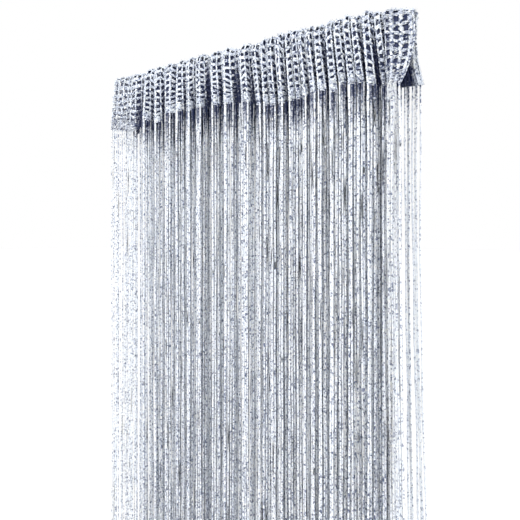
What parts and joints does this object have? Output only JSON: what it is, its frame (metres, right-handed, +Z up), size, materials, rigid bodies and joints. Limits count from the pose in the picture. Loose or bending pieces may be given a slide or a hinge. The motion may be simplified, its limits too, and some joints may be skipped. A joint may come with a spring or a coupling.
{
  "type": "string door curtain",
  "caption": "Hanging string curtain for a doorway: a gathered openwork heading folded over along its top edge, with a row of strings below each hem.",
  "frame": {"origin": "middle of the curtain's top edge, on the fold", "axes": "+X along the curtain to the right as seen from the front, -Y out of its front, +Z up"},
  "size_m": [0.4547, 0.0485, 2],
  "materials": {
    "openwork_knit": "openwork knit of silver-grey metallised yarn, with a soft sparkle",
    "string_yarn": "silver-grey metallised knitting yarn with small slubs, loosely twisted"
  },
  "bodies": {
    "root": {"heading": "openwork_knit", "string_comb_front": "string_yarn", "string_comb_back": "string_yarn"}
  },
  "joints": []
}
